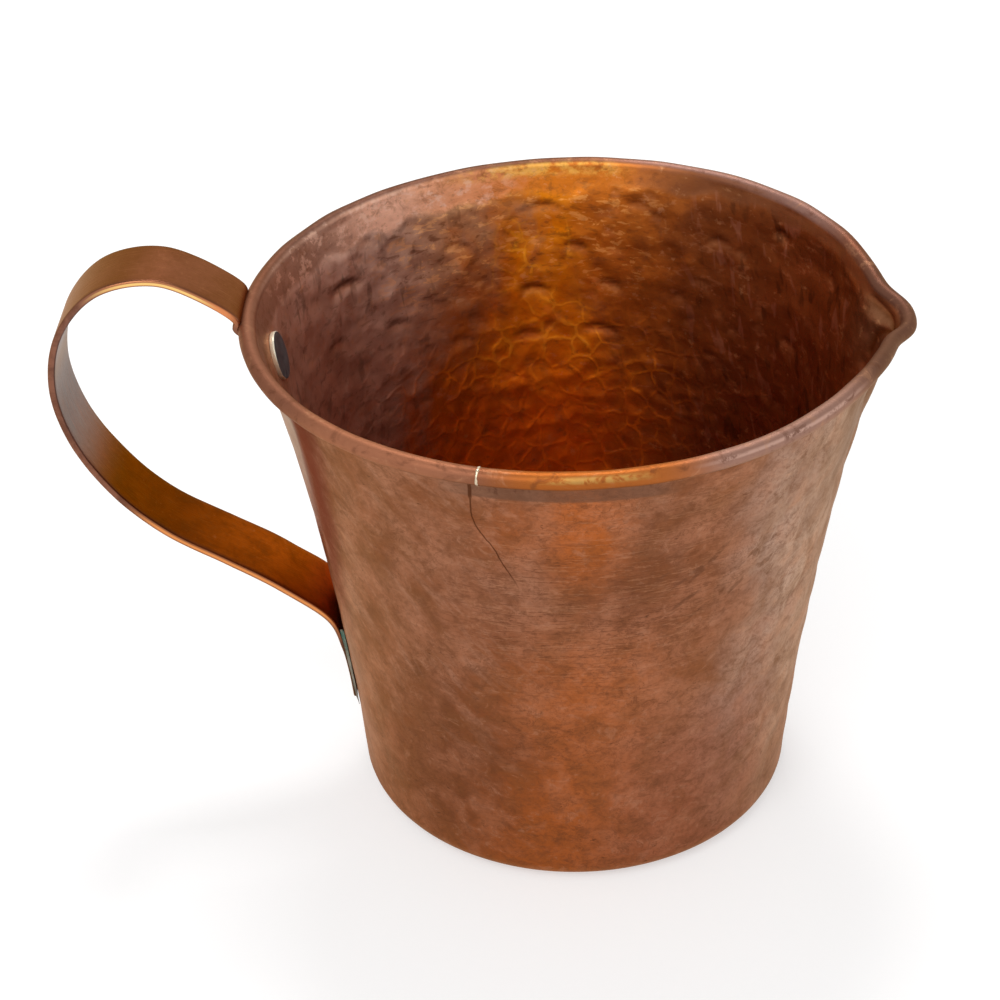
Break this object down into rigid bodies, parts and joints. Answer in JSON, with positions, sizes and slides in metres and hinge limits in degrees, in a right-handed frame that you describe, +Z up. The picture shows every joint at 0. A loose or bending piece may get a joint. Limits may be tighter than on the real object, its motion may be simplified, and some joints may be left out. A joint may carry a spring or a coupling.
{
  "type": "copper creamer",
  "caption": "Small hand-made copper cream jug: flared hammered cup with a wired rim, a pinched pouring lip and a riveted strap handle.",
  "frame": {"origin": "centre of the foot's underside, on the surface that the creamer stands on", "axes": "+Z up along the body's axis, +X towards the pouring lip, -X towards the strap handle"},
  "size_m": [0.1253, 0.095, 0.0876],
  "materials": {
    "wall_copper": "brown patinated copper, planished outside and hammered inside",
    "base_copper": "dull patinated copper sheet",
    "strap_copper": "worn copper bar with bright edges",
    "rim_iron": "plain drawn iron wire",
    "silver_solder": "bright silver solder",
    "rivet_metal": "dark grey white metal with a bright edge",
    "handle_solder": "dull soft solder with traces of verdigris"
  },
  "bodies": {
    "root": {"body_wall": "wall_copper", "rim_wire": "rim_iron", "rim_joint_solder": "silver_solder", "base_disc": "base_copper", "base_braze": "silver_solder", "handle_strap": "strap_copper", "handle_rivet": "rivet_metal", "rivet_washer": "strap_copper", "lower_solder": "handle_solder"}
  },
  "joints": []
}
